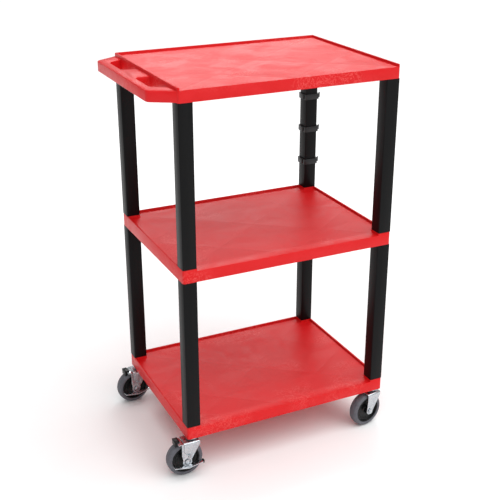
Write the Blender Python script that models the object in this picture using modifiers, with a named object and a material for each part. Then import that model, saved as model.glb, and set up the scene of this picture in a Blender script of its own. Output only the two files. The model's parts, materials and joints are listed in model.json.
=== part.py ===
"""Three-shelf book cart: moulded shelves on plug-in square legs, with four stem casters.

Metres, +Z up. The handle is at the -X end and the lipless long side of the shelves faces -Y.
The origin is on the floor, under the middle of the whole cart.
"""
import math

import bmesh
import bpy
from mathutils import Vector

# ---- Driving dimensions (metres, degrees) ----
GAP = 0.0003                 # clearance between neighbouring pieces
ROUND_STEPS = 16             # sides of a small round piece
FINE_STEPS = 20              # sides of a hole that a round piece turns in

CART_HEIGHT = 1.0668
SHELF_LENGTH = 0.6096        # along X
SHELF_DEPTH = 0.4572         # along Y
SHELF_HEIGHT = 0.0365        # lip top to skirt bottom
SHELF_PITCH = 0.4582         # lip top to lip top
CORNER_RADIUS = 0.006
EDGE_RADIUS = 0.002
LIP_HEIGHT = 0.00635
LIP_WIDTH = 0.005
SKIRT_WALL = 0.004
DECK_THICKNESS = 0.0045
RIB_THICKNESS = 0.003
RIB_RECESS = 0.008           # from the skirt's bottom up to the ribs

LEG_WIDTH = 0.0381
LEG_WALL = 0.003
LEG_EDGE_RADIUS = 0.0025
SPIGOT_WIDTH = 0.030
SPIGOT_WALL = 0.0025
SPIGOT_LENGTH = 0.0145
SOCKET_DEPTH = 0.015
SOCKET_WALL = 0.004

HANDLE_REACH = 0.0622        # beyond the shelf's end
HANDLE_BAR = 0.023
HANDLE_DROP = 0.008          # handle top below lip top
HANDLE_LIFT = 0.0006         # handle underside above the skirt bottom
HANDLE_HALF_OUTER = 0.187
HANDLE_HALF_INNER = 0.224
HANDLE_WEB = 0.096
HANDLE_ARM = 0.040           # width of each end arm, along Y
HANDLE_PLAN_RADIUS = 0.008
HANDLE_EDGE_RADIUS = 0.003

CLIP_HEIGHTS = {"upper": 0.892, "middle": 0.793, "lower": 0.692}
CLIP_HEIGHT = 0.016
CLIP_BAND = 0.003
CLIP_PAD = 0.0035            # the raised pad, beyond the band
CLIP_PAD_WIDTH = 0.022
CLIP_HOOK_RADIUS = 0.0085    # outer
CLIP_HOOK_WALL = 0.0024
CLIP_HOOK_MOUTH = 70         # degrees of the hook that are open
CLIP_MARGIN = 0.001          # pad and hook set in from the band's top and bottom

WHEEL_DIAMETER = 0.1016
TYRE_WIDTH = 0.030
TYRE_THICKNESS = 0.0115
TYRE_SHOULDER = 0.006
TYRE_CROWN = 0.0015
TYRE_FACETS = 32
HUB_WEB = 0.014
HUB_RIM = 0.026
HUB_RIM_DEPTH = 0.006
HUB_BOSS_RADIUS = 0.010
HUB_FILLET = 0.002
CASTER_TRAIL = 0.024
FORK_WIDTH = 0.044
FORK_SHEET = 0.0025
FORK_CROWN_DROP = 0.0082     # shelf underside to crown top
FORK_END_RADIUS = 0.0105
FORK_LEAD = 0.015            # crown ahead of the swivel axis
FORK_TRAIL = 0.031           # crown behind the swivel axis
FORK_FRONT_DROP = 0.010      # crown top to where the front edge slants back
FORK_BACK_DROP = 0.020       # crown top to where the rear edge slants in
BALL_DIAMETER = 0.0041
BALL_RING_RADIUS = 0.0115
BALL_COUNT = 8
CAGE_WIDTH = 0.0026
CAGE_HEIGHT = 0.0013
CAGE_STEPS = 12
STEM_RADIUS = 0.0055
STEM_LENGTH = 0.038
STEM_CHAMFER = 0.001
STEM_HEAD_LIP = 0.0025
STEM_HEAD_HEIGHT = 0.0012
RACE_RADIUS = 0.0175
RACE_THICKNESS = 0.003
SLEEVE_WALL = 0.002
BOLT_RADIUS = 0.004
BOLT_HEAD_RADIUS = 0.007
BOLT_HEAD_HEIGHT = 0.0045
BOLT_TAIL = 0.009            # beyond the fork
NUT_HEIGHT = 0.0065
BUSHING_WALL = 0.0018

LEVER_SHEET = 0.0025
LEVER_HUB_RADIUS = 0.0135
LEVER_FLANGE_REACH = 0.015
LEVER_WING = 0.041           # half the flange's length
LEVER_DROP = 0.012           # flange below the axle, at the middle
LEVER_RISE = 0.008           # flange tips above its middle
LEVER_ARM = 0.006            # width of the arm up to the tab
LEVER_BEND = (0.022, 0.030)  # inner and outer bend of the arm, above the axle
TAB_REACH = 0.0234           # from the axle
TAB_GAP = 0.002              # from the fork's crown
TAB_SHEET = 0.002
CAP_WRAP = 0.004
CAP_ABOVE = 0.003
CAP_BELOW = 0.0055
CAP_INSET = 0.00375
CAP_WIDTH = 0.0105
HEAD_CLEARANCE = 0.0022      # lever round the bolt's head
BRAKE_PIVOT = (-0.007, 0.014)  # from the axle, along the trail and up
BRAKE_PIN_RADIUS = 0.0028
BRAKE_GAP = 0.0014           # shoe to tread at rest
SHOE_ANGLES = (57, 73)       # degrees above the horizontal, behind the axle
SHOE_WIDTH = 0.024
SHOE_ROOF_GAP = 0.003        # below the shelf
SHOE_TAPER = 0.001
PIN_HEAD_LIP = 0.0018
PIN_HEAD_HEIGHT = 0.0015
PIN_TAIL_LIP = 0.001
PIN_TAIL_HEIGHT = 0.0012

# Caster positions: sign of X, sign of Y, direction of trail at rest (degrees), braked
CASTERS = {
    "front_left": (-1, -1, 180, True),
    "front_right": (1, -1, 190, False),
    "back_left": (-1, 1, 186, True),
    "back_right": (1, 1, 178, False),
}

# ---- Values worked out from the dimensions ----
UNDERSIDE = CART_HEIGHT - 2 * SHELF_PITCH - SHELF_HEIGHT
LEG_X = (SHELF_LENGTH - LEG_WIDTH) / 2
LEG_Y = (SHELF_DEPTH - LEG_WIDTH) / 2
SOCKET_WIDTH = SPIGOT_WIDTH + 2 * GAP
BLOCK = (LEG_WIDTH + SOCKET_WIDTH) / 2 + SOCKET_WALL
LEG_LENGTH = SHELF_PITCH - SHELF_HEIGHT - 2 * GAP
AXLE_HEIGHT = WHEEL_DIAMETER / 2 * math.cos(math.pi / TYRE_FACETS)
CROWN_TOP = UNDERSIDE - FORK_CROWN_DROP
RACE_TOP = UNDERSIDE - GAP
FORK_INNER = FORK_WIDTH / 2 - FORK_SHEET
LEVER_IN = FORK_WIDTH / 2 + GAP
LEVER_OUT = LEVER_IN + LEVER_SHEET
OVERSHOOT = 0.01             # how far a cutter runs past what it cuts

COLOURS = {
    "shelf_red": ((0.69, 0.02, 0.02, 1), 0.45, 0.0),
    "leg_black": ((0.02, 0.02, 0.022, 1), 0.4, 0.0),
    "clip_black": ((0.03, 0.03, 0.032, 1), 0.4, 0.0),
    "zinc": ((0.60, 0.62, 0.64, 1), 0.3, 1.0),
    "hub_black": ((0.015, 0.015, 0.017, 1), 0.35, 0.0),
    "tyre_grey": ((0.13, 0.13, 0.15, 1), 0.6, 0.0),
    "steel": ((0.55, 0.55, 0.56, 1), 0.25, 1.0),
}


# ---- Helpers ----
def clear_scene():
    """Remove every object, so the script can be run again."""
    for old in list(bpy.data.objects):
        bpy.data.objects.remove(old, do_unlink=True)


def material(name):
    """Return the Principled material of that name, made once."""
    found = bpy.data.materials.get(name)
    if found:
        return found
    colour, roughness, metallic = COLOURS[name]
    made = bpy.data.materials.new(name)
    made.use_nodes = True
    shader = made.node_tree.nodes["Principled BSDF"]
    shader.inputs["Base Color"].default_value = colour
    shader.inputs["Roughness"].default_value = roughness
    shader.inputs["Metallic"].default_value = metallic
    return made


def collection(name):
    """Return the scene's collection of that name, made once."""
    found = bpy.data.collections.get(name)
    if not found:
        found = bpy.data.collections.new(name)
        bpy.context.scene.collection.children.link(found)
    return found


def add_object(name, data):
    """Put data in the cart's collection as an object at the origin."""
    made = bpy.data.objects.new(name, data)
    collection("book_cart").objects.link(made)
    return made


def bake(obj):
    """Replace the object by a plain mesh object of what it evaluates to."""
    depsgraph = bpy.context.evaluated_depsgraph_get()
    mesh = bpy.data.meshes.new_from_object(obj.evaluated_get(depsgraph))
    name, matrix = obj.name, obj.matrix_world.copy()
    bpy.data.objects.remove(obj, do_unlink=True)
    mesh.transform(matrix)
    shape = bmesh.new()
    shape.from_mesh(mesh)
    bmesh.ops.remove_doubles(shape, verts=shape.verts, dist=0.000001)
    shape.to_mesh(mesh)
    shape.free()
    return add_object(name, mesh)


def combine(target, tool, operation="DIFFERENCE"):
    """Apply a Boolean with the tool, remove the tool and return the new object."""
    modifier = target.modifiers.new("combine", "BOOLEAN")
    modifier.operation = operation
    modifier.solver = "EXACT"
    modifier.object = tool
    bpy.context.view_layer.update()
    made = bake(target)
    bpy.data.objects.remove(tool, do_unlink=True)
    return made


def box(name, low, high, upright_radius=0.0, segments=2):
    """Make a box between two corners, with its upright edges rounded."""
    shape = bmesh.new()
    bmesh.ops.create_cube(shape, size=1.0)
    low, high = Vector(low), Vector(high)
    for vert in shape.verts:
        vert.co = [low[i] + (vert.co[i] + 0.5) * (high[i] - low[i]) for i in range(3)]
    if upright_radius:
        upright = [e for e in shape.edges if abs(e.verts[0].co.z - e.verts[1].co.z) > 1e-6]
        bmesh.ops.bevel(shape, geom=upright, offset=upright_radius, segments=segments,
                        profile=0.5, affect="EDGES")
    mesh = bpy.data.meshes.new(name)
    shape.to_mesh(mesh)
    shape.free()
    return add_object(name, mesh)


def round_rim(obj, radius, level, segments=2):
    """Round the edges around the flat faces that lie at the given height."""
    shape = bmesh.new()
    shape.from_mesh(obj.data)
    rim = [e for e in shape.edges if all(abs(v.co.z - level) < 1e-6 for v in e.verts)]
    bmesh.ops.bevel(shape, geom=rim, offset=radius, segments=segments, profile=0.5,
                    affect="EDGES")
    shape.to_mesh(obj.data)
    shape.free()


def plate(name, outline, thickness, low=0.0, along="Z"):
    """Extrude a flat outline from low to low + thickness along an axis.

    Outline points are (x, y) for along="Z", and (x, z) for along="Y".
    """
    shape = bmesh.new()
    if along == "Z":
        places, step = [(x, y, low) for x, y in outline], (0, 0, thickness)
    else:
        places, step = [(x, low, z) for x, z in outline], (0, thickness, 0)
    base = shape.faces.new([shape.verts.new(place) for place in places])
    grown = bmesh.ops.extrude_face_region(shape, geom=[base])
    moved = [item for item in grown["geom"] if isinstance(item, bmesh.types.BMVert)]
    bmesh.ops.translate(shape, verts=moved, vec=step)
    bmesh.ops.recalc_face_normals(shape, faces=shape.faces)
    mesh = bpy.data.meshes.new(name)
    shape.to_mesh(mesh)
    shape.free()
    return add_object(name, mesh)


def turned(name, profile, steps, closed=False, offset=(0, 0, 0), along="Z", phase=0.0):
    """Turn a profile of (radius, height) points about Z, or about Y through the offset."""
    mesh = bpy.data.meshes.new(name)
    edges = [(i, i + 1) for i in range(len(profile) - 1)]
    if closed:
        edges.append((len(profile) - 1, 0))
    mesh.from_pydata([(radius, 0, height) for radius, height in profile], edges, [])
    obj = add_object(name, mesh)
    screw = obj.modifiers.new("turn", "SCREW")
    screw.steps = screw.render_steps = steps
    screw.use_merge_vertices = True
    screw.merge_threshold = 0.00001
    if along == "Y":
        obj.rotation_euler = (-math.pi / 2, phase, 0)
    obj.location = offset
    bpy.context.view_layer.update()
    return smooth(bake(obj))


def smooth(obj):
    """Shade a round piece smooth, with its sharp corners kept."""
    obj.data.shade_smooth()
    obj.data.set_sharp_from_angle(angle=math.radians(35))
    return obj


def arc(centre, radius, start, end, count):
    """Return count points on an arc, between angles in degrees."""
    angles = [math.radians(start + (end - start) * i / (count - 1)) for i in range(count)]
    return [(centre[0] + radius * math.cos(a), centre[1] + radius * math.sin(a)) for a in angles]


def ring_profile(inner, outer, low, high):
    """Return the closed profile of a plain ring."""
    return [(outer, high), (outer, low), (inner, low), (inner, high)]


def finish(obj, name, material_name, parent, location=(0, 0, 0)):
    """Name a piece, give it its material and hang it on its parent at a location."""
    obj.name = name
    obj.data.name = name
    obj.data.materials.clear()
    obj.data.materials.append(material(material_name))
    obj.parent = parent
    obj.location = location
    return obj


def empty(name, parent, location=(0, 0, 0), turn=0.0):
    """Add an empty that marks a joint's axis."""
    marker = add_object(name, None)
    marker.parent = parent
    marker.location = location
    marker.rotation_euler.z = turn
    return marker


# ---- Shelves ----
def notched_plan(half_x, half_y, notch_x, notch_y, front):
    """Return a rectangle's outline with a notch at each corner and its own front line."""
    return [(-notch_x, front), (notch_x, front), (notch_x, -notch_y), (half_x, -notch_y),
            (half_x, notch_y), (notch_x, notch_y), (notch_x, half_y), (-notch_x, half_y),
            (-notch_x, notch_y), (-half_x, notch_y), (-half_x, -notch_y), (-notch_x, -notch_y)]


def deck_recess(has_pads):
    """Make the cutter that leaves the lip on three sides, and the pads under the legs."""
    half_x, half_y = SHELF_LENGTH / 2 - LIP_WIDTH, SHELF_DEPTH / 2 - LIP_WIDTH
    front = -SHELF_DEPTH / 2 - OVERSHOOT
    if has_pads:
        plan = notched_plan(half_x, half_y, SHELF_LENGTH / 2 - LEG_WIDTH,
                            SHELF_DEPTH / 2 - LEG_WIDTH, front)
    else:
        plan = [(-half_x, front), (half_x, front), (half_x, half_y), (-half_x, half_y)]
    return plate("recess", plan, LIP_HEIGHT + OVERSHOOT, SHELF_HEIGHT - LIP_HEIGHT)


def add_ribs(shelf):
    """Join the diagonal and diamond ribs under the deck."""
    half_x, half_y = SHELF_LENGTH / 2 - SKIRT_WALL / 2, SHELF_DEPTH / 2 - SKIRT_WALL / 2
    corner_x = SHELF_LENGTH / 2 - BLOCK + SOCKET_WALL / 2
    corner_y = SHELF_DEPTH / 2 - BLOCK + SOCKET_WALL / 2
    runs = [((-corner_x, -side * corner_y), (corner_x, side * corner_y)) for side in (-1, 1)]
    middles = [(half_x, 0), (0, half_y), (-half_x, 0), (0, -half_y)]
    runs += [(middles[i], middles[(i + 1) % 4]) for i in range(4)]
    top = SHELF_HEIGHT - LIP_HEIGHT - DECK_THICKNESS / 2
    for start, end in runs:
        line = Vector(end) - Vector(start)
        side = Vector((-line.y, line.x)).normalized() * RIB_THICKNESS / 2
        corners = [Vector(start) - side, Vector(end) - side, Vector(end) + side, Vector(start) + side]
        rib = plate("rib", [tuple(c) for c in corners], top - RIB_RECESS, RIB_RECESS)
        shelf = combine(shelf, rib, "UNION")
    return shelf


def cut_sockets(shelf, low, high, width):
    """Cut a square socket at each corner, between two heights."""
    for side_x in (-1, 1):
        for side_y in (-1, 1):
            centre = (side_x * LEG_X, side_y * LEG_Y)
            tool = box("socket", (centre[0] - width / 2, centre[1] - width / 2, low),
                       (centre[0] + width / 2, centre[1] + width / 2, high))
            shelf = combine(shelf, tool)
    return shelf


def shelf_body(has_pads):
    """Make a shelf's deck, skirt, lips, corner blocks and ribs, underside at z = 0."""
    half_x, half_y = SHELF_LENGTH / 2, SHELF_DEPTH / 2
    shelf = box("shelf", (-half_x, -half_y, 0), (half_x, half_y, SHELF_HEIGHT), CORNER_RADIUS, 3)
    round_rim(shelf, EDGE_RADIUS, SHELF_HEIGHT)
    shelf = combine(shelf, deck_recess(has_pads))
    hollow = notched_plan(half_x - SKIRT_WALL, half_y - SKIRT_WALL, half_x - BLOCK,
                          half_y - BLOCK, -half_y + SKIRT_WALL)
    depth = SHELF_HEIGHT - LIP_HEIGHT - DECK_THICKNESS
    shelf = combine(shelf, plate("hollow", hollow, depth + OVERSHOOT, -OVERSHOOT))
    return add_ribs(shelf)


def handle_blank():
    """Make the push handle: an outer bar, a middle web and two end arms."""
    root = -SHELF_LENGTH / 2 + 2 * SKIRT_WALL
    outer = -SHELF_LENGTH / 2 - HANDLE_REACH
    inner = outer + HANDLE_BAR
    slope = (HANDLE_HALF_INNER - HANDLE_HALF_OUTER) / HANDLE_REACH
    arm = HANDLE_HALF_INNER + slope * (root + SHELF_LENGTH / 2)
    opening_root = arm - HANDLE_ARM - HANDLE_ARM / 4
    opening_end = opening_root - slope * (root - inner)
    web = HANDLE_WEB / 2
    half = [(inner, web), (inner, opening_end), (root, opening_root), (root, arm),
            (outer, HANDLE_HALF_OUTER)]
    plan = [(root, web)] + half + [(x, -y) for x, y in reversed(half)] + [(root, -web)]
    height = SHELF_HEIGHT - HANDLE_DROP
    blank = plate("handle", plan, height - HANDLE_LIFT, HANDLE_LIFT)
    shape = bmesh.new()
    shape.from_mesh(blank.data)
    upright = [e for e in shape.edges if abs(e.verts[0].co.z - e.verts[1].co.z) > height / 2]
    bmesh.ops.bevel(shape, geom=upright, offset=HANDLE_PLAN_RADIUS, segments=2, profile=0.5,
                    affect="EDGES")
    rims = [e for e in shape.edges if abs(e.verts[0].co.z - e.verts[1].co.z) < 1e-6]
    bmesh.ops.bevel(shape, geom=rims, offset=HANDLE_EDGE_RADIUS, segments=2, profile=0.5,
                    affect="EDGES")
    shape.to_mesh(blank.data)
    shape.free()
    return blank


def build_shelves(root):
    """Build the three shelves at their heights."""
    low, high = -OVERSHOOT, SHELF_HEIGHT + OVERSHOOT
    top = combine(shelf_body(False), handle_blank(), "UNION")
    top = cut_sockets(top, low, SOCKET_DEPTH, SOCKET_WIDTH)
    finish(top, "top_shelf", "shelf_red", root, (0, 0, CART_HEIGHT - SHELF_HEIGHT))
    middle = cut_sockets(shelf_body(True), low, SOCKET_DEPTH, SOCKET_WIDTH)
    middle = cut_sockets(middle, SHELF_HEIGHT - SOCKET_DEPTH, high, SOCKET_WIDTH)
    finish(middle, "middle_shelf", "shelf_red", root, (0, 0, UNDERSIDE + SHELF_PITCH))
    bottom = cut_sockets(shelf_body(True), SHELF_HEIGHT - SOCKET_DEPTH, high, SOCKET_WIDTH)
    bore = STEM_RADIUS + SLEEVE_WALL + 2 * GAP
    for side_x, side_y, _, _ in CASTERS.values():
        tool = turned("bore", [(0, high), (bore, high), (bore, low), (0, low)], ROUND_STEPS,
                      offset=(side_x * LEG_X, side_y * LEG_Y, 0))
        bottom = combine(bottom, tool)
    finish(bottom, "bottom_shelf", "shelf_red", root, (0, 0, UNDERSIDE))


# ---- Legs and their cable clips ----
def leg_blank():
    """Make one hollow square leg with a spigot at each end, its lower shoulder at z = 0."""
    half, spigot = LEG_WIDTH / 2, SPIGOT_WIDTH / 2
    leg = box("leg", (-half, -half, 0), (half, half, LEG_LENGTH), LEG_EDGE_RADIUS)
    core = box("core", (-spigot, -spigot, -SPIGOT_LENGTH),
               (spigot, spigot, LEG_LENGTH + SPIGOT_LENGTH))
    leg = combine(leg, core, "UNION")
    room = half - LEG_WALL
    leg = combine(leg, box("room", (-room, -room, LEG_WALL), (room, room, LEG_LENGTH - LEG_WALL)))
    bore = spigot - SPIGOT_WALL
    return combine(leg, box("bore", (-bore, -bore, -SPIGOT_LENGTH - OVERSHOOT),
                            (bore, bore, LEG_LENGTH + SPIGOT_LENGTH + OVERSHOOT)))


def build_legs(root):
    """Build the lower and the upper set of four legs."""
    blank = leg_blank()
    for level, name in enumerate(("lower_leg", "upper_leg")):
        base = UNDERSIDE + SHELF_HEIGHT + level * SHELF_PITCH + GAP
        for corner, (side_x, side_y, _, _) in CASTERS.items():
            leg = add_object(name, blank.data.copy())
            place = (side_x * LEG_X, side_y * LEG_Y, base)
            finish(leg, f"{name}_{corner}", "leg_black", root, place)
    bpy.data.objects.remove(blank, do_unlink=True)


def clip_blank():
    """Make one snap-on cable clip: a square band, a pad on -X and an open hook on +X."""
    inner = LEG_WIDTH / 2 + GAP
    outer = inner + CLIP_BAND
    band = box("clip", (-outer, -outer, 0), (outer, outer, CLIP_HEIGHT), CLIP_BAND)
    pad = box("pad", (-outer - CLIP_PAD, -CLIP_PAD_WIDTH / 2, CLIP_MARGIN),
              (-inner - CLIP_BAND / 2, CLIP_PAD_WIDTH / 2, CLIP_HEIGHT - CLIP_MARGIN), CLIP_MARGIN)
    band = combine(band, pad, "UNION")
    centre = (outer + CLIP_HOOK_RADIUS - CLIP_BAND, 0)
    start, end = CLIP_HOOK_MOUTH, 360 - CLIP_HOOK_MOUTH / 8
    hook = arc(centre, CLIP_HOOK_RADIUS, start, end, ROUND_STEPS)
    hook += arc(centre, CLIP_HOOK_RADIUS - CLIP_HOOK_WALL, end, start, ROUND_STEPS)
    band = combine(band, plate("hook", hook, CLIP_HEIGHT - 2 * CLIP_MARGIN, CLIP_MARGIN), "UNION")
    leg_hole = box("hole", (-inner, -inner, -OVERSHOOT), (inner, inner, CLIP_HEIGHT + OVERSHOOT),
                   LEG_EDGE_RADIUS / 2)
    return combine(band, leg_hole)


def build_clips(root):
    """Put the clips on the upper back right leg."""
    blank = clip_blank()
    for place, height in CLIP_HEIGHTS.items():
        clip = add_object("clip", blank.data.copy())
        centre = (LEG_X, LEG_Y, height - CLIP_HEIGHT / 2)
        finish(clip, f"cable_clip_{place}", "clip_black", root, centre)
    bpy.data.objects.remove(blank, do_unlink=True)


# ---- Casters: +X is the trail direction, z = 0 the floor, the swivel axis at x = y = 0 ----
def stem():
    """Make the stem with its upper race above, and its riveted head under, the fork crown."""
    head = STEM_RADIUS + STEM_HEAD_LIP
    head_top = CROWN_TOP - FORK_SHEET - GAP
    top = UNDERSIDE + STEM_LENGTH
    pin = [(0, top), (STEM_RADIUS - STEM_CHAMFER, top), (STEM_RADIUS, top - STEM_CHAMFER)]
    race = [(STEM_RADIUS, RACE_TOP), (RACE_RADIUS, RACE_TOP),
            (RACE_RADIUS, RACE_TOP - RACE_THICKNESS), (STEM_RADIUS, RACE_TOP - RACE_THICKNESS)]
    rivet = [(STEM_RADIUS, head_top), (head, head_top), (head, head_top - STEM_HEAD_HEIGHT),
             (0, head_top - STEM_HEAD_HEIGHT)]
    return turned("stem", pin + race + rivet, ROUND_STEPS)


def stem_sleeve():
    """Make the split-resin sleeve that grips the stem in the shelf's corner."""
    inner = STEM_RADIUS + GAP
    top = UNDERSIDE + SHELF_HEIGHT - SOCKET_DEPTH - GAP
    profile = ring_profile(inner, inner + SLEEVE_WALL, UNDERSIDE + GAP, top)
    return turned("sleeve", profile, ROUND_STEPS, closed=True)


def ball_cage():
    """Make the caged ring of balls that rolls between the crown and the race."""
    shape = bmesh.new()
    level = (CROWN_TOP + RACE_TOP - RACE_THICKNESS) / 2
    for index in range(BALL_COUNT):
        angle = 2 * math.pi * index / BALL_COUNT
        ball = bmesh.ops.create_uvsphere(shape, u_segments=6, v_segments=4, radius=BALL_DIAMETER / 2)
        centre = (BALL_RING_RADIUS * math.cos(angle), BALL_RING_RADIUS * math.sin(angle), level)
        bmesh.ops.translate(shape, verts=ball["verts"], vec=centre)
    mesh = bpy.data.meshes.new("balls")
    shape.to_mesh(mesh)
    shape.free()
    profile = ring_profile(BALL_RING_RADIUS - CAGE_WIDTH / 2, BALL_RING_RADIUS + CAGE_WIDTH / 2,
                           level - CAGE_HEIGHT / 2, level + CAGE_HEIGHT / 2)
    cage = turned("cage", profile, CAGE_STEPS, closed=True)
    return smooth(combine(cage, add_object("balls", mesh), "UNION"))


def fork_side():
    """Return the fork's outline from the side, with its round end at the axle."""
    axle = (CASTER_TRAIL, AXLE_HEIGHT)
    above = CROWN_TOP + OVERSHOOT
    front = [(FORK_TRAIL, above), (-FORK_LEAD, above), (-FORK_LEAD, CROWN_TOP - FORK_FRONT_DROP)]
    round_end = arc(axle, FORK_END_RADIUS, 205, 352, 8)
    return front + round_end + [(FORK_TRAIL, CROWN_TOP - FORK_BACK_DROP)]


def fork(braked):
    """Press the fork from a folded channel, cut to its side outline, and drill it."""
    half = FORK_WIDTH / 2
    low = (-FORK_LEAD - OVERSHOOT, -half, AXLE_HEIGHT - FORK_END_RADIUS - OVERSHOOT)
    high = (FORK_TRAIL + 2 * OVERSHOOT, half, CROWN_TOP)
    channel = box("fork", low, high)
    shape = bmesh.new()
    shape.from_mesh(channel.data)
    folds = [e for e in shape.edges if all(abs(v.co.z - CROWN_TOP) < 1e-6 for v in e.verts)
             and abs(e.verts[0].co.x - e.verts[1].co.x) > half]
    bmesh.ops.bevel(shape, geom=folds, offset=2 * FORK_SHEET, segments=3, profile=0.5, affect="EDGES")
    shape.to_mesh(channel.data)
    shape.free()
    room = box("room", (low[0] - OVERSHOOT, -FORK_INNER, 0),
               (high[0] + OVERSHOOT, FORK_INNER, CROWN_TOP - FORK_SHEET))
    made = combine(channel, room)
    span = FORK_WIDTH + OVERSHOOT
    made = combine(made, plate("side", fork_side(), span, -span / 2, "Y"), "INTERSECT")
    neck = STEM_RADIUS + GAP
    above, below = CROWN_TOP + OVERSHOOT, CROWN_TOP - OVERSHOOT
    drill = turned("neck", [(0, above), (neck, above), (neck, below), (0, below)], FINE_STEPS)
    made = combine(made, drill)
    hole = BOLT_RADIUS + GAP
    made = combine(made, cross_pin("drill", hole, -half - OVERSHOOT, half + OVERSHOOT, (0, 0)))
    if braked:
        made = combine(made, cross_pin("drill", BRAKE_PIN_RADIUS + GAP, FORK_INNER - OVERSHOOT,
                                       half + OVERSHOOT, BRAKE_PIVOT))
    return made


def cross_pin(name, radius, low, high, offset, steps=ROUND_STEPS):
    """Make a cylinder along Y, at an offset from the axle."""
    profile = [(0, high), (radius, high), (radius, low), (0, low)]
    return turned(name, profile, steps, along="Y",
                  offset=(CASTER_TRAIL + offset[0], 0, AXLE_HEIGHT + offset[1]))


def about_axle(name, profile, steps, closed=False, phase=0.0):
    """Turn a profile about the wheel's axle."""
    return turned(name, profile, steps, closed, (CASTER_TRAIL, 0, AXLE_HEIGHT), "Y", phase)


def tyre():
    """Make the tyre, with its rounded shoulders, resting on one of its facets."""
    outer, half = WHEEL_DIAMETER / 2, TYRE_WIDTH / 2
    inner = outer - TYRE_THICKNESS
    profile = [(inner, HUB_RIM / 2), (outer - TYRE_SHOULDER, half),
               (outer - TYRE_CROWN, half - TYRE_SHOULDER / 2), (outer, half - 1.6 * TYRE_SHOULDER)]
    profile += [(radius, -height) for radius, height in reversed(profile)]
    return about_axle("tyre", profile, TYRE_FACETS, True, math.pi / TYRE_FACETS)


def hub():
    """Make the wheel's hub: a boss, a thinner web and the rim that carries the tyre."""
    rim = WHEEL_DIAMETER / 2 - TYRE_THICKNESS - 2 * GAP
    bore = BOLT_RADIUS + 2 * GAP + BUSHING_WALL + GAP
    boss = FORK_INNER - 2 * GAP
    side = [(bore, boss), (HUB_BOSS_RADIUS, boss), (HUB_BOSS_RADIUS + HUB_FILLET, HUB_WEB / 2),
            (rim - HUB_RIM_DEPTH, HUB_WEB / 2), (rim - HUB_RIM_DEPTH / 2, HUB_RIM / 2),
            (rim, HUB_RIM / 2)]
    profile = side + [(radius, -height) for radius, height in reversed(side)]
    return about_axle("hub", profile, TYRE_FACETS, True, math.pi / TYRE_FACETS)


def bushing():
    """Make the steel sleeve that the hub turns on, clamped between the fork's legs."""
    inner = BOLT_RADIUS + GAP
    profile = ring_profile(inner, inner + BUSHING_WALL, -FORK_INNER + GAP, FORK_INNER - GAP)
    return about_axle("bushing", profile, ROUND_STEPS, True)


def axle_bolt():
    """Make the axle bolt, with its hexagon head on the +Y side."""
    head = FORK_WIDTH / 2 + GAP
    tail = -FORK_WIDTH / 2 - BOLT_TAIL
    shank = cross_pin("bolt", BOLT_RADIUS, tail, head + BOLT_HEAD_HEIGHT / 4, (0, 0))
    cap = cross_pin("cap", BOLT_HEAD_RADIUS, head, head + BOLT_HEAD_HEIGHT, (0, 0), steps=6)
    return combine(shank, cap, "UNION")


def axle_nut():
    """Make the hexagon nut on the bolt's -Y end."""
    start = -FORK_WIDTH / 2 - GAP
    blank = cross_pin("nut", BOLT_HEAD_RADIUS, start - NUT_HEIGHT, start, (0, 0), steps=6)
    low, high = start - NUT_HEIGHT - OVERSHOOT, start + OVERSHOOT
    return combine(blank, cross_pin("tap", BOLT_RADIUS + GAP, low, high, (0, 0)))


# ---- Brakes ----
def from_axle(points):
    """Move side-view points given from the axle to the caster's frame."""
    return [(CASTER_TRAIL + x, AXLE_HEIGHT + z) for x, z in points]


def brake_tab():
    """Return the low and high corners of the lever's top tab, which carries the shoe."""
    low = (FORK_TRAIL + TAB_GAP, -SHOE_WIDTH / 2, CROWN_TOP - TAB_SHEET / 4)
    high = (CASTER_TRAIL + TAB_REACH, LEVER_OUT, low[2] + TAB_SHEET)
    return low, high


def brake_lever():
    """Make the pressed lever: a plate round the axle, a gull-wing pedal and the shoe's arm."""
    low, high = brake_tab()
    disc = arc((0, 0), LEVER_HUB_RADIUS, 120, 385, 16)
    front, top = low[0] - CASTER_TRAIL, high[2] - AXLE_HEIGHT
    arm = [(front + LEVER_ARM, LEVER_BEND[0]), (front + LEVER_ARM, top), (front, top), (front, LEVER_BEND[1])]
    eye = arc(BRAKE_PIVOT, LEVER_ARM, 40, 180, 4)
    body = plate("lever", from_axle(arm + eye + disc), LEVER_SHEET, LEVER_IN, "Y")
    tip = LEVER_RISE - LEVER_DROP
    wings = [(-LEVER_WING, tip), (0, -LEVER_DROP), (LEVER_WING, tip)]
    pedal = wings + [(x, z - LEVER_SHEET) for x, z in reversed(wings)]
    body = combine(body, plate("pedal", from_axle(pedal), LEVER_FLANGE_REACH, LEVER_IN, "Y"), "UNION")
    body = combine(body, box("tab", low, high), "UNION")
    reach = LEVER_OUT + LEVER_FLANGE_REACH
    window = cross_pin("window", BOLT_HEAD_RADIUS + HEAD_CLEARANCE, 0, reach, (0, 0), FINE_STEPS)
    body = combine(body, window)
    return combine(body, cross_pin("eye", BRAKE_PIN_RADIUS + GAP, 0, reach, BRAKE_PIVOT))


def brake_shoe():
    """Make the shoe over the tread, slotted onto the lever's tab."""
    near = WHEEL_DIAMETER / 2 + BRAKE_GAP
    low_angle, high_angle = SHOE_ANGLES
    face = arc((0, 0), near, high_angle, low_angle, 6)
    roof = UNDERSIDE - SHOE_ROOF_GAP - AXLE_HEIGHT
    outline = face + [(face[-1][0] + SHOE_TAPER, roof), (face[0][0], roof)]
    shoe = plate("shoe", from_axle(outline), SHOE_WIDTH, -SHOE_WIDTH / 2, "Y")
    low, high = brake_tab()
    slot = box("slot", (low[0] - OVERSHOOT, -SHOE_WIDTH, low[2] - GAP),
               (high[0] + GAP, SHOE_WIDTH, high[2] + GAP))
    return combine(shoe, slot)


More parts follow.
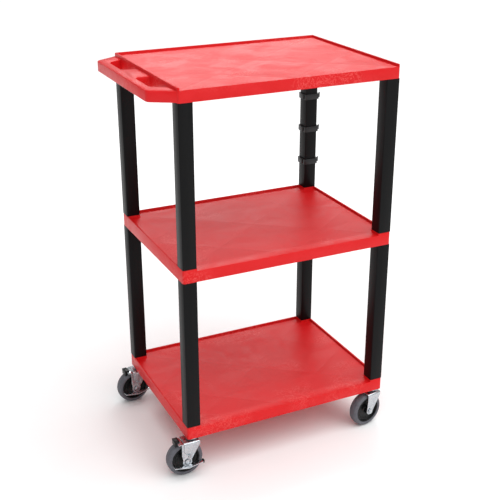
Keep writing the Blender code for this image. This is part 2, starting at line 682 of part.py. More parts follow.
def pedal_cap():
    """Make the moulded cap over the pedal's leading tip."""
    front, back = -LEVER_WING - CAP_WRAP, -LEVER_WING - GAP
    tip = LEVER_RISE - LEVER_DROP
    top, bottom = tip + CAP_ABOVE, tip - CAP_BELOW
    outline = from_axle([(front, top), (front, bottom), (back, bottom), (back, top)])
    return plate("cap", outline, CAP_WIDTH, LEVER_IN + CAP_INSET, "Y")


def brake_pin():
    """Make the headed rivet that the lever turns on."""
    radius, inner, outer = BRAKE_PIN_RADIUS, FORK_INNER - GAP, LEVER_OUT + GAP
    head, head_end = radius + PIN_HEAD_LIP, outer + PIN_HEAD_HEIGHT
    tail, tail_end = radius + PIN_TAIL_LIP, inner - PIN_TAIL_HEIGHT
    profile = [(0, head_end), (head, head_end), (head, outer), (radius, outer),
               (radius, inner), (tail, inner), (tail, tail_end), (0, tail_end)]
    return turned("pin", profile, ROUND_STEPS, along="Y",
                  offset=(CASTER_TRAIL + BRAKE_PIVOT[0], 0, AXLE_HEIGHT + BRAKE_PIVOT[1]))


def hang(obj, name, material_name, swivel, origin=(0, 0, 0)):
    """Finish a caster piece, with its own origin moved onto its joint's axis."""
    for vert in obj.data.vertices:
        vert.co -= Vector(origin)
    return finish(obj, name, material_name, swivel, origin)


def build_caster(corner, root):
    """Build one caster around its swivel axis, turned to its trail direction at rest."""
    side_x, side_y, turn, braked = CASTERS[corner]
    swivel = empty(f"swivel_axis_{corner}", root, (side_x * LEG_X, side_y * LEG_Y, 0), math.radians(turn))
    axle = (CASTER_TRAIL, 0, AXLE_HEIGHT)
    hang(stem(), f"stem_{corner}", "zinc", swivel)
    hang(stem_sleeve(), f"stem_sleeve_{corner}", "clip_black", swivel)
    hang(ball_cage(), f"ball_cage_{corner}", "steel", swivel)
    hang(fork(braked), f"fork_{corner}", "zinc", swivel)
    hang(tyre(), f"tyre_{corner}", "tyre_grey", swivel, axle)
    hang(hub(), f"hub_{corner}", "hub_black", swivel, axle)
    hang(bushing(), f"axle_bushing_{corner}", "steel", swivel, axle)
    hang(axle_bolt(), f"axle_bolt_{corner}", "zinc", swivel, axle)
    hang(axle_nut(), f"axle_nut_{corner}", "zinc", swivel, axle)
    if braked:
        pivot = (CASTER_TRAIL + BRAKE_PIVOT[0], 0, AXLE_HEIGHT + BRAKE_PIVOT[1])
        hang(brake_lever(), f"brake_lever_{corner}", "zinc", swivel, pivot)
        hang(brake_shoe(), f"brake_shoe_{corner}", "hub_black", swivel, pivot)
        hang(pedal_cap(), f"pedal_cap_{corner}", "hub_black", swivel, pivot)
        hang(brake_pin(), f"brake_pin_{corner}", "steel", swivel, pivot)


def centre_on_floor(root):
    """Move the cart so that the origin is under the middle of its box."""
    bpy.context.view_layer.update()
    meshes = [o for o in bpy.data.objects if o.type == "MESH"]
    corners = [o.matrix_world @ v.co for o in meshes for v in o.data.vertices]
    for axis in (0, 1):
        values = [corner[axis] for corner in corners]
        root.location[axis] = -(min(values) + max(values)) / 2


def main():
    """Build the whole cart."""
    clear_scene()
    root = empty("cart_frame", None)
    build_shelves(root)
    build_legs(root)
    build_clips(root)
    for corner in CASTERS:
        build_caster(corner, root)
    centre_on_floor(root)
    bpy.context.view_layer.update()


if __name__ == "__main__":
    main()
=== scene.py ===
"""Looks of the three-shelf book cart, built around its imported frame."""
import json
import logging
import math
from dataclasses import dataclass, field
from enum import Enum
from typing import Any, Iterable, Sequence

import bmesh
import bpy
from mathutils import Matrix, Vector


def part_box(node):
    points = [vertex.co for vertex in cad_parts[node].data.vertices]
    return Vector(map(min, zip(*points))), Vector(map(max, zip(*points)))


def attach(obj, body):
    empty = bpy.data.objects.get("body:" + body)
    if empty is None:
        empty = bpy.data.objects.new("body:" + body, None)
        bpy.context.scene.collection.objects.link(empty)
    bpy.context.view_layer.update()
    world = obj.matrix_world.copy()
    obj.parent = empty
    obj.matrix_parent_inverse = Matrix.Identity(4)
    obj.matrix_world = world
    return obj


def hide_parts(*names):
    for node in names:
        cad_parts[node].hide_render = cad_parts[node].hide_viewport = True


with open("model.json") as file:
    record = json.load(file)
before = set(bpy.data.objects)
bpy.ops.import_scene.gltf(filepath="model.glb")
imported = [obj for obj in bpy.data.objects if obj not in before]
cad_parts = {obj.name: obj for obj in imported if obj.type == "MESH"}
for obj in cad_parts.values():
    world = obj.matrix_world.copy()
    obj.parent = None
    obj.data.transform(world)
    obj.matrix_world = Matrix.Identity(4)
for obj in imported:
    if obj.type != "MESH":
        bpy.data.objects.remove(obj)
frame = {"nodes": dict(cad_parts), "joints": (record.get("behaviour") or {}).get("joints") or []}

LOG = logging.getLogger("book_cart")
MM = 0.001
CORNERS = ("front_left", "front_right", "back_left", "back_right")
BRAKED = ("front_left", "back_left")
CLIPS = ("upper", "middle", "lower")

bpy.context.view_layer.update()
Colour = tuple[float, float, float, float]
Profile = Sequence[tuple[float, float]]


class Slot(Enum):
    """The record's material slots."""

    SHELF = "shelf_plastic"
    LEG = "leg_plastic"
    CLIP = "clip_plastic"
    ZINC = "zinc_plate"
    STEEL = "bearing_steel"
    HUB = "hub_plastic"
    TYRE = "tyre_rubber"


# ---- Colours and shader nodes ----
def linear(code: str) -> Colour:
    """Turn an sRGB hex colour into linear light.

    Args:
        code: Six hex digits, such as "D92626".

    Returns:
        Red, green, blue and an alpha of 1.
    """
    values = [int(code[i:i + 2], 16) / 255 for i in (0, 2, 4)]
    red, green, blue = (v / 12.92 if v <= 0.04045 else ((v + 0.055) / 1.055) ** 2.4 for v in values)
    return red, green, blue, 1.0


def add_node(tree: bpy.types.NodeTree, kind: str, inputs: dict[Any, Any] | None = None,
             **settings: Any) -> bpy.types.Node:
    """Add a shader node with its settings, values and links.

    Args:
        tree: The material's node tree.
        kind: The node's type name.
        inputs: A value, or a socket to link from, by socket name or number.
        **settings: The node's own properties.

    Returns:
        The new node.
    """
    node = tree.nodes.new(kind)
    for key, value in settings.items():
        setattr(node, key, value)
    for key, value in (inputs or {}).items():
        if isinstance(value, bpy.types.NodeSocket):
            tree.links.new(value, node.inputs[key])
        else:
            node.inputs[key].default_value = value
    return node


# ---- Finishes ----
@dataclass(frozen=True)
class Finish:
    """A surface finish: a base colour with clouding, a roughness that varies and a fine grain."""

    name: str
    slot: Slot
    colour: str
    clouding: str
    cloud_size_mm: float
    cloud_amount: float
    roughness: float
    roughness_spread: float
    grain_mm: float
    grain_depth_mm: float
    ior: float = 1.49
    metallic: float = 0.0
    specular: float = 0.5
    stretch: tuple[float, float, float] = (1.0, 1.0, 1.0)

    def material(self) -> bpy.types.Material:
        """Return this finish's material, made once."""
        made = bpy.data.materials.get(self.name)
        if made:
            return made
        made = bpy.data.materials.new(self.name)
        made.use_nodes = True
        tree = made.node_tree
        shader = tree.nodes["Principled BSDF"]
        shader.inputs["Metallic"].default_value = self.metallic
        if not self.metallic:
            shader.inputs["IOR"].default_value = self.ior
            shader.inputs["Specular IOR Level"].default_value = self.specular
        place = add_node(tree, "ShaderNodeTexCoord").outputs["Object"]
        self.dress(tree, shader, place)
        return made

    def cloud(self, tree: bpy.types.NodeTree, place: bpy.types.NodeSocket) -> bpy.types.NodeSocket:
        """Return a soft cloud pattern from 0 to 1, at the finish's cloud size."""
        spread = add_node(tree, "ShaderNodeMapping", {"Scale": self.stretch, "Vector": place})
        noise = add_node(tree, "ShaderNodeTexNoise",
                         {"Scale": 1 / (self.cloud_size_mm * MM), "Detail": 5.0, "Roughness": 0.55,
                          "Distortion": 1.2, "Vector": spread.outputs[0]})
        soft = add_node(tree, "ShaderNodeMapRange",
                        {"From Min": 0.36, "From Max": 0.68, "Value": noise.outputs[0]},
                        interpolation_type="SMOOTHSTEP")
        return soft.outputs[0]

    def grain(self, tree: bpy.types.NodeTree, place: bpy.types.NodeSocket) -> bpy.types.NodeSocket:
        """Return the height in metres of the fine grain left by the mould or die."""
        spread = add_node(tree, "ShaderNodeMapping", {"Scale": self.stretch, "Vector": place})
        noise = add_node(tree, "ShaderNodeTexNoise",
                         {"Scale": 1 / (self.grain_mm * MM), "Detail": 2.0, "Roughness": 0.5,
                          "Vector": spread.outputs[0]})
        height = add_node(tree, "ShaderNodeMath", {0: noise.outputs[0], 1: self.grain_depth_mm * MM},
                          operation="MULTIPLY")
        return height.outputs[0]

    def dress(self, tree: bpy.types.NodeTree, shader: bpy.types.Node,
              place: bpy.types.NodeSocket) -> None:
        """Link colour, roughness and bump to the shader.

        Args:
            tree: The material's node tree.
            shader: Its Principled shader.
            place: The object coordinates.
        """
        cloud = self.cloud(tree, place)
        amount = add_node(tree, "ShaderNodeMath", {0: cloud, 1: self.cloud_amount}, operation="MULTIPLY")
        colour = add_node(tree, "ShaderNodeMix",
                          {0: amount.outputs[0], 6: linear(self.colour), 7: linear(self.clouding)},
                          data_type="RGBA")
        tree.links.new(self.tint(tree, place, colour.outputs[2]), shader.inputs["Base Color"])
        rough = add_node(tree, "ShaderNodeMapRange",
                         {"To Min": self.roughness - self.roughness_spread,
                          "To Max": self.roughness + self.roughness_spread, "Value": cloud})
        tree.links.new(rough.outputs[0], shader.inputs["Roughness"])
        self.bump(tree, shader, self.relief(tree, place))

    def tint(self, tree: bpy.types.NodeTree, place: bpy.types.NodeSocket,
             colour: bpy.types.NodeSocket) -> bpy.types.NodeSocket:
        """Return the base colour as it is; a finish with marks of its own adds them here."""
        return colour

    def relief(self, tree: bpy.types.NodeTree, place: bpy.types.NodeSocket) -> bpy.types.NodeSocket:
        """Return the surface's height in metres."""
        return self.grain(tree, place)

    def bump(self, tree: bpy.types.NodeTree, shader: bpy.types.Node,
             height: bpy.types.NodeSocket) -> None:
        """Bend the shading normal by a height in metres."""
        bend = add_node(tree, "ShaderNodeBump", {"Strength": 1.0, "Distance": 1.0, "Height": height})
        tree.links.new(bend.outputs[0], shader.inputs["Normal"])


@dataclass(frozen=True)
class MouldedShelfPlastic(Finish):
    """Structural-foam polyethylene: cloudy flow marks, and sinks over the ribs under the deck."""

    centre: tuple[float, float] = (0.0, 0.0)
    half: tuple[float, float] = (0.3, 0.23)
    sink_width_mm: float = 9.0
    sink_depth_mm: float = 0.20
    panel_width_mm: float = 75.0
    panel_depth_mm: float = 1.3
    swirl_mm: float = 60.0
    swirl_depth_mm: float = 0.5
    deck_facing: float = 0.9
    streak_colour: str = "EE6A66"
    streak_mm: float = 38.0
    streak_amount: float = 0.55
    streak_width: float = 0.035

    def tint(self, tree: bpy.types.NodeTree, place: bpy.types.NodeSocket,
             colour: bpy.types.NodeSocket) -> bpy.types.NodeSocket:
        """Add thin pale streaks, where the melt folded over in the mould."""
        folds = add_node(tree, "ShaderNodeTexNoise",
                         {"Scale": 1 / (self.streak_mm * MM), "Detail": 4.0, "Roughness": 0.6,
                          "Distortion": 3.5, "Vector": place})
        centred = add_node(tree, "ShaderNodeMath", {0: folds.outputs[0], 1: 0.5}, operation="SUBTRACT")
        ridge = add_node(tree, "ShaderNodeMath", {0: centred.outputs[0]}, operation="ABSOLUTE")
        line = add_node(tree, "ShaderNodeMapRange",
                        {"From Max": self.streak_width, "To Min": 1.0, "To Max": 0.0,
                         "Value": ridge.outputs[0]}, interpolation_type="SMOOTHSTEP")
        patches = add_node(tree, "ShaderNodeTexNoise",
                           {"Scale": 1 / (4 * self.streak_mm * MM), "Detail": 1.0, "Vector": place})
        where = add_node(tree, "ShaderNodeMapRange",
                         {"From Min": 0.52, "From Max": 0.66, "Value": patches.outputs[0]},
                         interpolation_type="SMOOTHSTEP")
        amount = add_node(tree, "ShaderNodeMath", {0: line.outputs[0], 1: where.outputs[0]},
                          operation="MULTIPLY")
        faded = add_node(tree, "ShaderNodeMath", {0: amount.outputs[0], 1: self.streak_amount},
                         operation="MULTIPLY")
        mixed = add_node(tree, "ShaderNodeMix",
                         {0: faded.outputs[0], 6: colour, 7: linear(self.streak_colour)},
                         data_type="RGBA")
        return mixed.outputs[2]

    def relief(self, tree: bpy.types.NodeTree, place: bpy.types.NodeSocket) -> bpy.types.NodeSocket:
        """Return grain, with shallow sinks along the deck's diagonals and its diamond."""
        nearest = self.from_lines(tree, place)
        sink = add_node(tree, "ShaderNodeMapRange",
                        {"From Max": self.sink_width_mm * MM, "To Min": -self.sink_depth_mm * MM,
                         "To Max": 0.0, "Value": nearest}, interpolation_type="SMOOTHSTEP")
        panel = add_node(tree, "ShaderNodeMapRange",
                         {"From Max": self.panel_width_mm * MM, "To Min": -self.panel_depth_mm * MM,
                          "To Max": 0.0, "Value": nearest}, interpolation_type="SMOOTHSTEP")
        hollows = add_node(tree, "ShaderNodeMath", {0: sink.outputs[0], 1: panel.outputs[0]},
                           operation="ADD")
        normal = add_node(tree, "ShaderNodeNewGeometry").outputs["Normal"]
        facing = add_node(tree, "ShaderNodeSeparateXYZ", {0: normal})
        upward = add_node(tree, "ShaderNodeMath", {0: facing.outputs[2], 1: self.deck_facing},
                          operation="GREATER_THAN")
        deck = add_node(tree, "ShaderNodeMath", {0: hollows.outputs[0], 1: upward.outputs[0]},
                        operation="MULTIPLY")
        swirl = add_node(tree, "ShaderNodeTexNoise",
                         {"Scale": 1 / (self.swirl_mm * MM), "Detail": 3.0, "Distortion": 1.5,
                          "Vector": place})
        waves = add_node(tree, "ShaderNodeMath", {0: swirl.outputs[0], 1: self.swirl_depth_mm * MM},
                         operation="MULTIPLY")
        surface = add_node(tree, "ShaderNodeMath", {0: self.grain(tree, place), 1: waves.outputs[0]},
                           operation="ADD")
        height = add_node(tree, "ShaderNodeMath", {0: surface.outputs[0], 1: deck.outputs[0]},
                          operation="ADD")
        return height.outputs[0]

    def from_lines(self, tree: bpy.types.NodeTree, place: bpy.types.NodeSocket) -> bpy.types.NodeSocket:
        """Return the distance in metres to the nearest diagonal or side of the diamond."""
        shift = add_node(tree, "ShaderNodeMapping",
                         {"Location": (-self.centre[0], -self.centre[1], 0), "Vector": place})
        parts = add_node(tree, "ShaderNodeSeparateXYZ", {0: shift.outputs[0]}).outputs
        shares = []
        for part, half in zip(parts, self.half):
            size = add_node(tree, "ShaderNodeMath", {0: part}, operation="ABSOLUTE")
            share = add_node(tree, "ShaderNodeMath", {0: size.outputs[0], 1: half}, operation="DIVIDE")
            shares.append(share.outputs[0])
        along, across = shares
        slope = add_node(tree, "ShaderNodeMath", {0: along, 1: across}, operation="SUBTRACT")
        diagonal = add_node(tree, "ShaderNodeMath", {0: slope.outputs[0]}, operation="ABSOLUTE")
        total = add_node(tree, "ShaderNodeMath", {0: along, 1: across}, operation="ADD")
        edge = add_node(tree, "ShaderNodeMath", {0: total.outputs[0], 1: 1.0}, operation="SUBTRACT")
        diamond = add_node(tree, "ShaderNodeMath", {0: edge.outputs[0]}, operation="ABSOLUTE")
        closest = add_node(tree, "ShaderNodeMath", {0: diagonal.outputs[0], 1: diamond.outputs[0]},
                           operation="MINIMUM")
        slant = self.half[0] * self.half[1] / math.hypot(*self.half)
        nearest = add_node(tree, "ShaderNodeMath", {0: closest.outputs[0], 1: slant}, operation="MULTIPLY")
        return nearest.outputs[0]


# ---- Mesh tools ----
def publish(shape: bmesh.types.BMesh, name: str, finish: Finish, body: str,
            stands_for: Iterable[str], smooth_angle: float = 40.0) -> bpy.types.Object:
    """Turn a finished bmesh into a piece of the model.

    Args:
        shape: The mesh, in the frame's own place. It is freed.
        name: The piece's name.
        finish: Its surface.
        body: The body that it rides on.
        stands_for: The CAD nodes that it replaces.
        smooth_angle: Edges sharper than this stay sharp, in degrees.

    Returns:
        The new object.
    """
    mesh = bpy.data.meshes.new(name)
    shape.to_mesh(mesh)
    shape.free()
    mesh.materials.append(finish.material())
    mesh.shade_smooth()
    mesh.set_sharp_from_angle(angle=math.radians(smooth_angle))
    piece = bpy.data.objects.new(name, mesh)
    bpy.context.scene.collection.objects.link(piece)
    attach(piece, body)
    nodes = list(stands_for)
    if nodes:
        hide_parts(*nodes)
    LOG.info("%s: %d faces on %s", name, len(mesh.polygons), body)
    return piece


def node_shape(node: str) -> bmesh.types.BMesh:
    """Return a merged copy of a CAD node's mesh, with its flat sides joined."""
    shape = bmesh.new()
    shape.from_mesh(frame["nodes"][node].data)
    bmesh.ops.remove_doubles(shape, verts=shape.verts, dist=0.01 * MM)
    bmesh.ops.dissolve_limit(shape, angle_limit=math.radians(0.5), verts=shape.verts, edges=shape.edges)
    return shape


def round_edges(shape: bmesh.types.BMesh, radius: float, segments: int = 3,
                sharper_than: float = 32.0) -> None:
    """Round the edges of a shape that are sharper than an angle.

    Args:
        shape: The mesh to change.
        radius: The rounding, in metres.
        segments: Faces across each rounding.
        sharper_than: The least angle between faces, in degrees.
    """
    limit = math.radians(sharper_than)
    edges = [e for e in shape.edges if len(e.link_faces) == 2 and e.calc_face_angle(0) > limit]
    bmesh.ops.bevel(shape, geom=edges, offset=radius, offset_type="OFFSET", segments=segments,
                    profile=0.5, affect="EDGES", material=-1, clamp_overlap=True, harden_normals=False)


def spun(profile: Profile, place: Matrix, steps: int = 96, closed: bool = True) -> bmesh.types.BMesh:
    """Spin a profile about the local Y axis.

    Args:
        profile: Points of (radius, distance along the axle).
        place: Where the local frame lies.
        steps: Faces round the axis.
        closed: Whether the profile closes on itself rather than on the axis.

    Returns:
        The turned shape, facing outward.
    """
    shape = bmesh.new()
    verts = [shape.verts.new((radius, along, 0)) for radius, along in profile]
    pairs = list(zip(verts, verts[1:]))
    if closed:
        pairs.append((verts[-1], verts[0]))
    edges = [shape.edges.new(pair) for pair in pairs]
    bmesh.ops.spin(shape, geom=verts + edges, cent=(0, 0, 0), axis=(0, 1, 0), dvec=(0, 0, 0),
                   angle=math.tau, steps=steps, use_merge=True, use_duplicate=False)
    bmesh.ops.remove_doubles(shape, verts=shape.verts, dist=0.001 * MM)
    bmesh.ops.recalc_face_normals(shape, faces=shape.faces)
    bmesh.ops.transform(shape, matrix=place, verts=shape.verts)
    return shape


def rounded(corners: Profile, radius: float, steps: int = 4) -> list[tuple[float, float]]:
    """Round every corner of a closed outline with a short curve.

    Args:
        corners: The outline's corners.
        radius: How far from each corner the curve starts.
        steps: Pieces along each curve.

    Returns:
        The rounded outline's points.
    """
    points: list[tuple[float, float]] = []
    count = len(corners)
    for index, corner in enumerate(corners):
        here = Vector(corner)
        before, after = Vector(corners[index - 1]), Vector(corners[(index + 1) % count])
        reach = min(radius, (before - here).length / 2.2, (after - here).length / 2.2)
        start = here + (before - here).normalized() * reach
        end = here + (after - here).normalized() * reach
        for step in range(steps + 1):
            t = step / steps
            point = start * (1 - t) ** 2 + here * 2 * t * (1 - t) + end * t ** 2
            points.append((point.x, point.y))
    return points


# ---- Finishes of this cart ----
def shelf_finish() -> MouldedShelfPlastic:
    """Return the red shelf plastic, with its sinks lined up with the shelves."""
    low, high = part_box("middle_shelf")
    centre = ((low[0] + high[0]) / 2, (low[1] + high[1]) / 2)
    half = ((high[0] - low[0]) / 2, (high[1] - low[1]) / 2)
    # A grain of a few tenths of a millimetre would not show, so it is drawn at 2 mm.
    return MouldedShelfPlastic("moulded_red_polyethylene", Slot.SHELF, "D51518", "DC2126", 95.0, 0.6,
                               0.40, 0.05, 2.0, 0.04, ior=1.51, specular=0.2,
                               centre=centre, half=half)


@dataclass(frozen=True)
class Finishes:
    """Every finish on the cart."""

    shelf: MouldedShelfPlastic = field(default_factory=shelf_finish)
    # Extruded ABS keeps fine draw lines along its length, so the grain is stretched upward.
    leg: Finish = Finish("extruded_black_abs", Slot.LEG, "0C0C0D", "131314", 60.0, 0.8,
                         0.42, 0.06, 1.6, 0.03, specular=0.12, stretch=(1.0, 1.0, 0.02))
    # Moulded nylon is a touch paler and shinier than the legs.
    clip: Finish = Finish("moulded_black_nylon", Slot.CLIP, "151517", "1E1E20", 12.0, 0.8,
                          0.36, 0.06, 1.2, 0.02, ior=1.53, specular=0.35)
    # Bright zinc plate on pressed sheet shows a faint, patchy bloom.
    zinc: Finish = Finish("bright_zinc_plated_steel", Slot.ZINC, "C6CACE", "A9AFB6", 9.0, 0.7,
                          0.27, 0.09, 1.5, 0.012, metallic=1.0)
    steel: Finish = Finish("ground_bearing_steel", Slot.STEEL, "B2B3B6", "93959A", 5.0, 0.6,
                           0.22, 0.06, 0.8, 0.006, metallic=1.0)
    # Moulded polypropylene, black and semi-gloss.
    hub: Finish = Finish("moulded_black_polypropylene", Slot.HUB, "08080A", "0E0E11", 14.0, 0.7,
                         0.34, 0.07, 1.2, 0.015, ior=1.49, specular=0.25)
    # Thermoplastic rubber scatters light softly and holds a little pale dust.
    tyre: Finish = Finish("grey_thermoplastic_rubber", Slot.TYRE, "55555C", "66666D", 16.0, 0.7,
                          0.62, 0.08, 1.4, 0.05, ior=1.52, specular=0.4)


# ---- Sub-assemblies ----
@dataclass
class Shelving:
    """The three shelves, their eight legs and the cable clips."""

    finishes: Finishes
    shelf_edge: float = 0.9 * MM
    leg_edge: float = 0.5 * MM
    clip_edge: float = 0.35 * MM

    def build(self) -> None:
        """Build every piece of the cart above its casters."""
        for node in ("top_shelf", "middle_shelf", "bottom_shelf"):
            self.piece(node, self.shelf_edge, self.finishes.shelf, "root")
        for corner in CORNERS:
            for level in ("lower_leg", "upper_leg"):
                self.piece(f"{level}_{corner}", self.leg_edge, self.finishes.leg, "root")
        for place in CLIPS:
            self.piece(f"cable_clip_{place}", self.clip_edge, self.finishes.clip, f"clip_{place}")

    def piece(self, node: str, edge: float, finish: Finish, body: str) -> bpy.types.Object:
        """Build one piece from its CAD node, with its edges rounded."""
        shape = node_shape(node)
        round_edges(shape, edge)
        return publish(shape, f"{node}_moulding", finish, body, [node])


@dataclass
class Caster:
    """One swivel caster, placed by its wheel's joint."""

    corner: str
    finishes: Finishes
    tyre_half: float = 15.0 * MM
    tyre_wall: float = 11.5 * MM
    rim_half: float = 13.0 * MM
    sheet_edge: float = 0.45 * MM
    head_radius: float = 7.0 * MM
    head_height: float = 4.5 * MM
    nut_height: float = 6.5 * MM
    fork_face: float = 22.3 * MM
    washer_radius: float = 6.6 * MM
    washer_height: float = 1.1 * MM
    head_start: float = 0.9 * MM
    shank_radius: float = 3.98 * MM
    shank_tail: float = 31.0 * MM
    shank_sink: float = 0.4 * MM

    def __post_init__(self) -> None:
        """Read the wheel's place from the frame's joints."""
        joint = next(j for j in frame["joints"] if j["name"] == f"spin_{self.corner}")
        axle, up = Vector(joint["axis"]).normalized(), Vector((0, 0, 1))
        trail = axle.cross(up)
        turn = Matrix((trail, axle, up)).transposed().to_4x4()
        self.place = Matrix.Translation(Vector(joint["pos_m"])) @ turn
        self.radius = joint["pos_m"][2]

    def build(self) -> None:
        """Build the caster's pieces."""
        self.tyre()
        self.hub()
        self.pressed()
        self.bolt()
        self.nut()
        self.hidden()
        if self.corner in BRAKED:
            self.brake()

    def tyre(self) -> bpy.types.Object:
        """Spin the tyre: crowned tread, mould line, stepped sidewalls and a seat on the rim."""
        outer, half, inner = self.radius, self.tyre_half, self.radius - self.tyre_wall
        side = [(outer, 0.0), (outer - 0.35 * MM, 0.45 * half), (outer - 1.6 * MM, 0.72 * half),
                (outer - 4.2 * MM, 0.92 * half), (outer - 6.6 * MM, 0.985 * half),
                (outer - 7.2 * MM, 0.955 * half), (outer - 7.8 * MM, 0.975 * half),
                (inner + 1.2 * MM, 0.94 * half), (inner, self.rim_half - 0.2 * MM)]
        seam = [(outer, -0.3 * MM), (outer, 0.3 * MM), (outer - 0.15 * MM, 0.6 * MM)]
        profile = seam[1:] + rounded(side[1:] + [(inner, 0.0)], 0.8 * MM, 3)[:-4]
        mirrored = [(radius, -along) for radius, along in reversed(profile)]
        shape = spun(profile + mirrored, self.place, 128)
        return publish(shape, f"tyre_{self.corner}_rubber", self.finishes.tyre, f"wheel_{self.corner}",
                       [f"tyre_{self.corner}"], 50.0)

    def hub(self) -> bpy.types.Object:
        """Spin the hub: boss, stepped web and rim flange."""
        rim = self.radius - self.tyre_wall - 0.3 * MM
        half = self.rim_half
        side = [(6.7 * MM, 18.6 * MM), (9.4 * MM, 18.6 * MM), (10.0 * MM, 17.6 * MM), (11.2 * MM, 9.0 * MM),
                (14.0 * MM, 7.4 * MM), (rim - 13.0 * MM, 6.6 * MM), (rim - 12.2 * MM, 7.8 * MM),
                (rim - 10.6 * MM, 7.8 * MM), (rim - 9.8 * MM, 6.8 * MM), (rim - 5.0 * MM, 7.6 * MM),
                (rim - 3.2 * MM, half - 0.6 * MM), (rim - 2.4 * MM, half), (rim, half)]
        outline = side + [(radius, -along) for radius, along in reversed(side)]
        shape = spun(rounded(outline, 0.7 * MM, 3), self.place, 96)
        return publish(shape, f"hub_{self.corner}_moulding", self.finishes.hub, f"wheel_{self.corner}",
                       [f"hub_{self.corner}"], 50.0)

    def refined(self, node: str, finish: Finish, body: str, edge: float, name: str) -> bpy.types.Object:
        """Build a piece from its CAD node, with its edges rounded."""
        shape = node_shape(node)
        round_edges(shape, edge, 2)
        return publish(shape, name, finish, body, [node])

    def pressed(self) -> None:
        """Dress the fork and the stem with its race."""
        self.refined(f"fork_{self.corner}", self.finishes.zinc, f"caster_{self.corner}", self.sheet_edge,
                     f"fork_{self.corner}_pressing")
        self.refined(f"stem_{self.corner}", self.finishes.zinc, "root", self.sheet_edge,
                     f"stem_{self.corner}_turned")

    def hexagon(self, shape: bmesh.types.BMesh, low: float, high: float) -> None:
        """Add a hexagon with chamfered corners, between two distances along the axle."""
        ring = bmesh.ops.create_cone(shape, cap_ends=True, segments=6, radius1=self.head_radius,
                                     radius2=self.head_radius, depth=high - low)
        faces = {face for vert in ring["verts"] for face in vert.link_faces}
        edges = {edge for face in faces for edge in face.edges}
        upright = Matrix.Rotation(math.pi / 2, 3, "X")
        bmesh.ops.rotate(shape, verts=ring["verts"], cent=(0, 0, 0), matrix=upright)
        bmesh.ops.translate(shape, verts=ring["verts"], vec=(0, (low + high) / 2, 0))
        bmesh.ops.bevel(shape, geom=list(edges), offset=0.5 * MM, segments=2, profile=0.5, affect="EDGES",
                        material=-1, clamp_overlap=True)

    def shank(self, shape: bmesh.types.BMesh, radius: float, low: float, high: float) -> None:
        """Add a round bar with chamfered ends, between two distances along the axle."""
        ring = bmesh.ops.create_cone(shape, cap_ends=True, segments=32, radius1=radius, radius2=radius,
                                     depth=high - low)
        upright = Matrix.Rotation(math.pi / 2, 3, "X")
        bmesh.ops.rotate(shape, verts=ring["verts"], cent=(0, 0, 0), matrix=upright)
        bmesh.ops.translate(shape, verts=ring["verts"], vec=(0, (low + high) / 2, 0))
        rims = {e for v in ring["verts"] for e in v.link_edges
                if abs(e.verts[0].co.y - e.verts[1].co.y) < 1e-7}
        bmesh.ops.bevel(shape, geom=list(rims), offset=0.6 * MM, segments=2, profile=0.5, affect="EDGES",
                        material=-1, clamp_overlap=True)

    def bolt(self) -> bpy.types.Object:
        """Build the axle bolt: washer face, hexagon head and shank."""
        face = self.fork_face
        shape = bmesh.new()
        self.shank(shape, self.washer_radius, face, face + self.washer_height)
        self.hexagon(shape, face + self.head_start, face + self.head_height)
        self.shank(shape, self.shank_radius, -self.shank_tail, face + self.shank_sink)
        bmesh.ops.transform(shape, matrix=self.place, verts=shape.verts)
        return publish(shape, f"axle_bolt_{self.corner}_turned", self.finishes.zinc, f"caster_{self.corner}",
                       [f"axle_bolt_{self.corner}"], 30.0)

    def nut(self) -> bpy.types.Object:
        """Build the axle nut as a chamfered hexagon round the bolt's end."""
        shape = bmesh.new()
        self.hexagon(shape, -self.fork_face - self.nut_height, -self.fork_face)
        bmesh.ops.transform(shape, matrix=self.place, verts=shape.verts)
        return publish(shape, f"axle_nut_{self.corner}_turned", self.finishes.zinc, f"caster_{self.corner}",
                       [f"axle_nut_{self.corner}"], 30.0)

    def hidden(self) -> None:
        """Give the pieces inside the caster their finishes."""
        for node, finish in ((f"ball_cage_{self.corner}", self.finishes.steel),
                             (f"axle_bushing_{self.corner}", self.finishes.steel),
                             (f"stem_sleeve_{self.corner}", self.finishes.clip)):
            dress_node(node, finish)

    def brake(self) -> None:
        """Dress the lever, its shoe, its tip cap and its pin."""
        body = f"brake_{self.corner}"
        for part, finish, edge in (("brake_lever", self.finishes.zinc, 0.5 * MM),
                                   ("brake_shoe", self.finishes.hub, 0.8 * MM),
                                   ("pedal_cap", self.finishes.hub, 0.8 * MM)):
            node = f"{part}_{self.corner}"
            self.refined(node, finish, body, edge, f"{node}_piece")
        self.refined(f"brake_pin_{self.corner}", self.finishes.steel, f"caster_{self.corner}", 0.4 * MM,
                     f"brake_pin_{self.corner}_turned")


def dress_node(node: str, finish: Finish) -> None:
    """Give a CAD node that stays a better material."""
    item = frame["nodes"][node]
    item.data.materials.clear()
    item.data.materials.append(finish.material())
    LOG.info("%s: CAD node dressed", node)


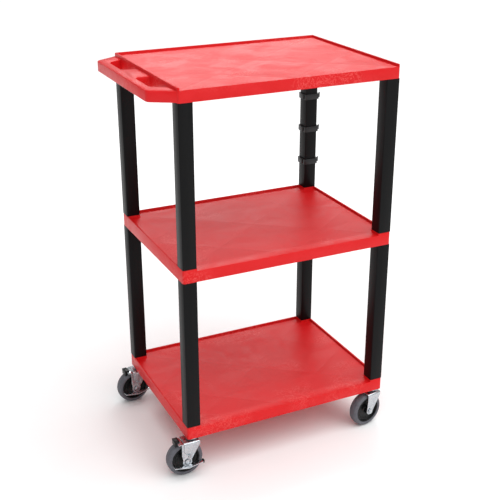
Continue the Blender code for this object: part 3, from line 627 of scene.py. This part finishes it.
# ---- Studio ----
@dataclass
class Studio:
    """The floor, the lights and the camera."""

    camera_place: tuple[float, float, float] = (-1.0834, -2.2266, 1.5719)
    azimuth: float = -25.73
    elevation: float = 22.96
    lens_mm: float = 68.33
    sensor_mm: float = 36.0
    floor_size: float = 90.0
    surround: float = 0.42

    def build(self) -> None:
        """Build the whole studio around the shelves' middle."""
        low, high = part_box("middle_shelf")
        self.middle = Vector(((low[0] + high[0]) / 2, (low[1] + high[1]) / 2, 0.0))
        self.floor()
        self.world()
        self.bank("overhead_bank", (0.15, -0.4, 1.0), 80.0, 2.5)
        self.light("back_softbox", (1.6, 3.0, 2.75), (0.0, 0.0, 1.0), (2.6, 0.7), 34.0)
        self.light("front_softbox", (0.5, -3.0, 1.2), (0.0, 0.0, 0.5), (1.6, 1.2), 6.0)
        self.camera()

    def floor(self) -> None:
        """Lay a plain pale floor."""
        shape = bmesh.new()
        bmesh.ops.create_grid(shape, x_segments=1, y_segments=1, size=self.floor_size / 2)
        mesh = bpy.data.meshes.new("studio_floor")
        shape.to_mesh(mesh)
        shape.free()
        sheet = Finish("matt_white_paper", Slot.SHELF, "FAFAFA", "F6F6F6", 900.0, 0.5, 0.9, 0.02, 6.0, 0.02)
        mesh.materials.append(sheet.material())
        ground = bpy.data.objects.new("studio_floor", mesh)
        bpy.context.scene.collection.objects.link(ground)

    def world(self) -> None:
        """Light the scene evenly from a white surround."""
        world = bpy.data.worlds.new("white_surround")
        world.use_nodes = True
        back = world.node_tree.nodes["Background"]
        back.inputs["Color"].default_value = (1.0, 1.0, 1.0, 1.0)
        back.inputs["Strength"].default_value = self.surround
        bpy.context.scene.world = world

    def bank(self, name: str, toward: tuple[float, float, float], spread: float, strength: float) -> None:
        """Add a wide, even bank of light that reaches the whole floor.

        Args:
            name: The light's name.
            toward: The direction that the light comes from.
            spread: How wide the bank looks, in degrees.
            strength: Its strength, in watts per square metre.
        """
        lamp = bpy.data.lights.new(name, "SUN")
        lamp.angle = math.radians(spread)
        lamp.energy = strength
        holder = bpy.data.objects.new(name, lamp)
        holder.rotation_euler = Vector(toward).to_track_quat("Z", "Y").to_euler()
        bpy.context.scene.collection.objects.link(holder)

    def light(self, name: str, place: tuple[float, float, float], target: tuple[float, float, float],
              size: tuple[float, float], power: float) -> None:
        """Add a rectangular soft light that faces a point.

        Args:
            name: The light's name.
            place: Where it hangs, from the shelves' middle.
            target: What it faces, from the shelves' middle.
            size: Its width and height, in metres.
            power: Its power, in watts.
        """
        lamp = bpy.data.lights.new(name, "AREA")
        lamp.shape = "RECTANGLE"
        lamp.size, lamp.size_y = size
        lamp.energy = power
        holder = bpy.data.objects.new(name, lamp)
        holder.location = self.middle + Vector(place)
        aim = Vector(target) - Vector(place)
        holder.rotation_euler = aim.to_track_quat("-Z", "Y").to_euler()
        bpy.context.scene.collection.objects.link(holder)

    def camera(self) -> None:
        """Set the camera at the cart's usual three-quarter view."""
        lens = bpy.data.cameras.new("main_camera")
        lens.lens, lens.sensor_width = self.lens_mm, self.sensor_mm
        holder = bpy.data.objects.new("main_camera", lens)
        holder.location = self.middle + Vector(self.camera_place)
        tilt = math.radians(90.0 - self.elevation)
        holder.rotation_euler = (tilt, 0.0, math.radians(self.azimuth))
        bpy.context.scene.collection.objects.link(holder)
        bpy.context.scene.camera = holder


def main() -> None:
    """Build the cart's pieces in order, then the studio."""
    logging.basicConfig(level=logging.INFO, format="%(message)s")
    bpy.context.scene.view_settings.view_transform = "Standard"
    finishes = Finishes()
    Shelving(finishes).build()
    for corner in CORNERS:
        Caster(corner, finishes).build()
    Studio().build()


if __name__ == "__main__":
    main()
